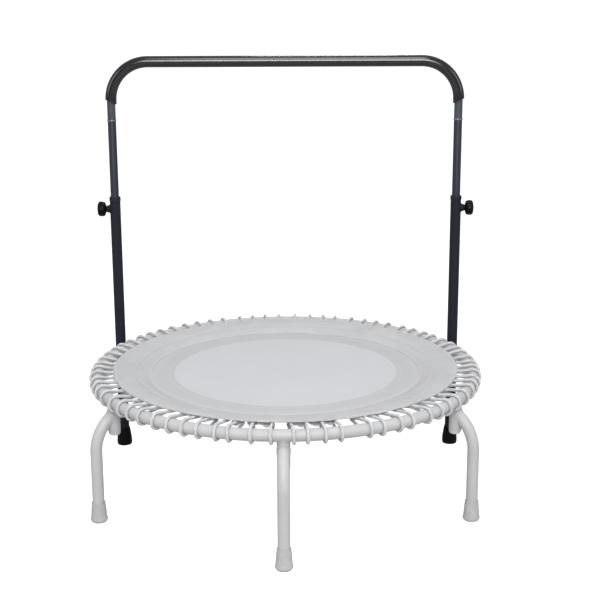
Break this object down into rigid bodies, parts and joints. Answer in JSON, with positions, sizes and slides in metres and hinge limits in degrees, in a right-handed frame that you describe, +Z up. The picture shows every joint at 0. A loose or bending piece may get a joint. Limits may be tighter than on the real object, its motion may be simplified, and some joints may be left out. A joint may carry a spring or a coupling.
{
  "type": "mini trampoline with handlebar",
  "caption": "Round fitness trampoline on arched legs, its mat laced into a tube ring with bungee cords, with a height-adjustable U-shaped handlebar.",
  "frame": {"origin": "on the floor, under the centre of the ring, which is also the middle of the bounding box's bottom", "axes": "+Z up, +Y from the step-on side towards the handlebar, +X to the right of someone who faces the handlebar"},
  "size_m": [1.0222, 1.0916, 1.087],
  "materials": {
    "frame_coat": "pale grey powder coat, satin",
    "frame_rubber": "pale grey moulded rubber",
    "bolt_zinc": "pale grey coated steel",
    "mat_fabric": "tight plain weave, matte",
    "webbing": "heavy woven webbing",
    "skirt_fabric": "coated cloth, slight sheen",
    "bungee": "braided sheath over rubber",
    "post_coat": "black powder coat",
    "post_rubber": "black moulded rubber",
    "black_plastic": "fine moulded texture",
    "pad_brass": "turned",
    "zinc_steel": "zinc plated",
    "tube_slate": "dark slate gloss coat",
    "grip_foam": "closed-cell foam, satin skin"
  },
  "bodies": {
    "frame": {"frame_ring": "frame_coat", "leg_front": "frame_coat", "leg_left": "frame_coat", "leg_right": "frame_coat", "leg_back": "frame_coat", "leg_foot_front": "frame_rubber", "leg_foot_left": "frame_rubber", "leg_foot_right": "frame_rubber", "leg_foot_back": "frame_rubber", "leg_bolt_front": "bolt_zinc", "leg_bolt_left": "bolt_zinc", "leg_bolt_right": "bolt_zinc", "leg_bolt_back": "bolt_zinc", "post_left": "post_coat", "post_right": "post_coat", "post_foot_left": "post_rubber", "post_foot_right": "post_rubber", "post_bolt_left": "bolt_zinc", "post_bolt_right": "bolt_zinc", "post_collar_left": "black_plastic", "post_collar_right": "black_plastic", "bungee_cord_01": "bungee", "bungee_cord_02": "bungee", "bungee_cord_03": "bungee", "bungee_cord_04": "bungee", "bungee_cord_05": "bungee", "bungee_cord_06": "bungee", "bungee_cord_07": "bungee", "bungee_cord_08": "bungee", "bungee_cord_09": "bungee", "bungee_cord_10": "bungee", "bungee_cord_11": "bungee", "bungee_cord_12": "bungee", "bungee_cord_13": "bungee", "bungee_cord_14": "bungee", "bungee_cord_15": "bungee", "bungee_cord_16": "bungee", "bungee_cord_17": "bungee", "bungee_cord_18": "bungee"},
    "mat": {"jump_mat": "mat_fabric", "webbing_band": "webbing", "edge_skirt": "skirt_fabric"},
    "handle": {"upper_tube_left": "tube_slate", "upper_tube_right": "tube_slate", "joint_ring_left": "zinc_steel", "joint_ring_right": "zinc_steel", "handle_bar": "tube_slate", "foam_grip": "grip_foam"},
    "pad_left": {"clamp_pad_left": "pad_brass"},
    "knob_left": {"clamp_screw_left": "zinc_steel", "clamp_knob_left": "black_plastic"},
    "pad_right": {"clamp_pad_right": "pad_brass"},
    "knob_right": {"clamp_screw_right": "zinc_steel", "clamp_knob_right": "black_plastic"}
  },
  "joints": [
    {"name": "mat_bounce", "type": "slide", "parent": "frame", "child": "mat", "axis": [0, 0, 1], "range_m": [-0.08, 0], "stiffness_N_per_m": 9000, "springref_m": 0.002, "deforming": ["bungee_cord_01", "bungee_cord_02", "bungee_cord_03", "bungee_cord_04", "bungee_cord_05", "bungee_cord_06", "bungee_cord_07", "bungee_cord_08", "bungee_cord_09", "bungee_cord_10", "bungee_cord_11", "bungee_cord_12", "bungee_cord_13", "bungee_cord_14", "bungee_cord_15", "bungee_cord_16", "bungee_cord_17", "bungee_cord_18"]},
    {"name": "handle_height", "type": "slide", "parent": "frame", "child": "handle", "axis": [0, 0, 1], "range_m": [-0.15, 0.1]},
    {"name": "clamp_press_left", "type": "slide", "parent": "frame", "child": "pad_left", "axis": [-1, 0, 0], "range_m": [0, 0.003]},
    {"name": "clamp_turn_left", "type": "hinge", "parent": "pad_left", "child": "knob_left", "pos_m": [-0.46332, 0.2675, 0.678], "axis": [-1, 0, 0], "range_deg": [0, 540]},
    {"name": "clamp_press_right", "type": "slide", "parent": "frame", "child": "pad_right", "axis": [1, 0, 0], "range_m": [0, 0.003]},
    {"name": "clamp_turn_right", "type": "hinge", "parent": "pad_right", "child": "knob_right", "pos_m": [0.46332, 0.2675, 0.678], "axis": [1, 0, 0], "range_deg": [0, 540]}
  ],
  "couplings": [
    {"joint": "clamp_press_left", "follows": "clamp_turn_left", "m_per_rad": 0.0003183},
    {"joint": "clamp_press_right", "follows": "clamp_turn_right", "m_per_rad": 0.0003183}
  ]
}
